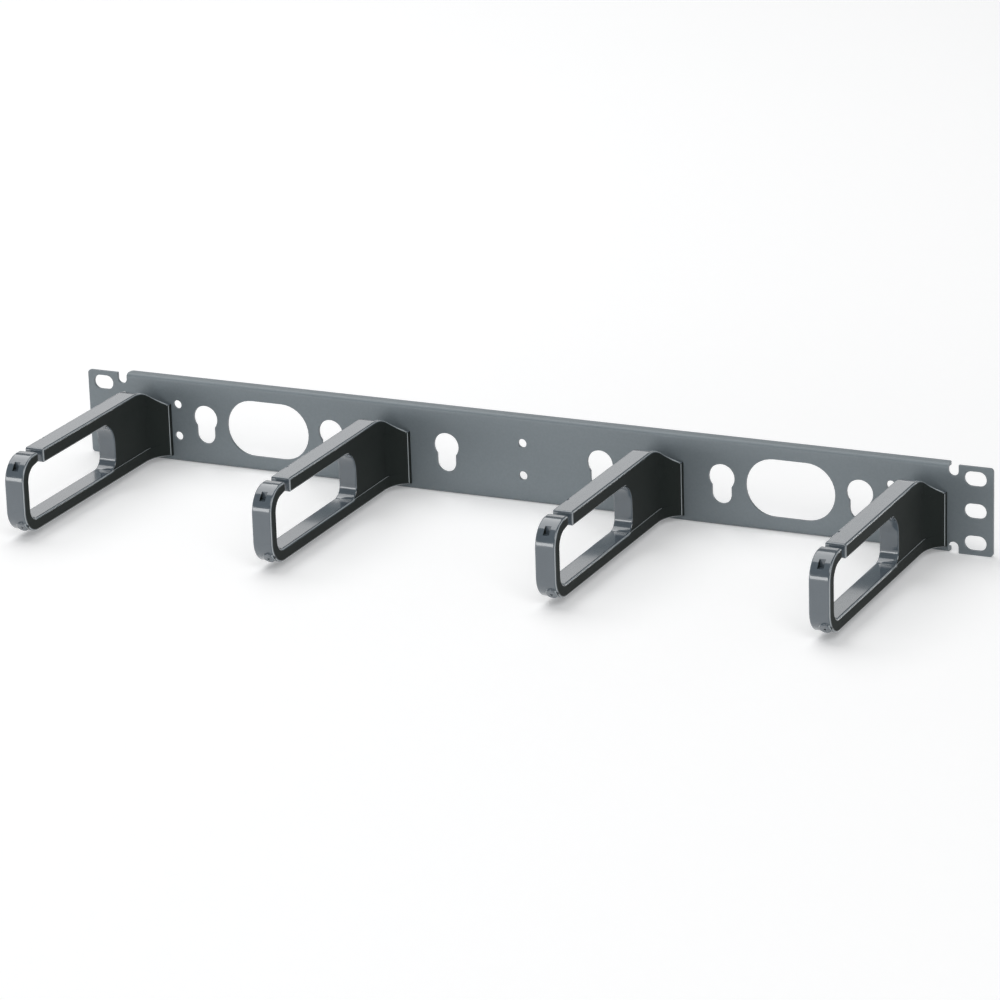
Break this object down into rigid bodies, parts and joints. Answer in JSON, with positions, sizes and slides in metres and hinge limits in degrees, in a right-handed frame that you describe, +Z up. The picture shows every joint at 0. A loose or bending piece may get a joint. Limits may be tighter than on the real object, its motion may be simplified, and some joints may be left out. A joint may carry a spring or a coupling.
{
  "type": "horizontal cable manager",
  "caption": "Rack-width folded steel panel with long forward-reaching moulded cable rings, slotted ears, keyholes and obround cable pass-throughs; one rack unit high.",
  "frame": {"origin": "middle of the rack hole pattern, on the rear face of the ears where the panel meets the rack rails", "axes": "+X along the panel to the right seen from the front, +Z up, the cable rings reach forward along -Y"},
  "size_m": [0.4826, 0.1426, 0.0436],
  "materials": {
    "panel": "black semi-gloss powder coat on folded steel sheet",
    "ring": "black moulded plastic with a smooth glossy skin",
    "screw": "dark zinc-plated pan head screw"
  },
  "bodies": {
    "root": {"panel": "panel", "ring_1": "ring", "ring_2": "ring", "ring_3": "ring", "ring_4": "ring", "ring_screws": "screw"}
  },
  "joints": []
}
